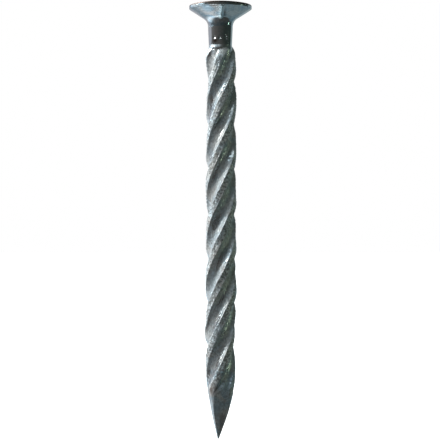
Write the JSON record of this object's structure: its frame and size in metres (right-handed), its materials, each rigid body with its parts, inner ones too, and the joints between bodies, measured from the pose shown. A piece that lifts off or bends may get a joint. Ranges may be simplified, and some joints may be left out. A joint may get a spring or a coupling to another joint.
{
  "type": "spiral-shank drive spike",
  "caption": "Zinc-plated steel drive spike with a flat countersunk head, short plain neck, right-handed spiral shank and faceted point; it fastens timber and fixings to sleepers.",
  "frame": {"origin": "centre of the head's flat top face, on the spike's axis", "axes": "+Z along the spike's axis, out of the top of the head, so the point is at -Z; X and Y face the flats of the point"},
  "size_m": [0.0108, 0.0108, 0.075],
  "materials": {
    "zinc_plated_steel": "bright zinc plate with a faint blue tint, glossy on the neck and drawn satin on the spiral"
  },
  "bodies": {
    "root": {"head": "zinc_plated_steel", "neck": "zinc_plated_steel", "spiral_shank": "zinc_plated_steel", "point": "zinc_plated_steel"}
  },
  "joints": []
}
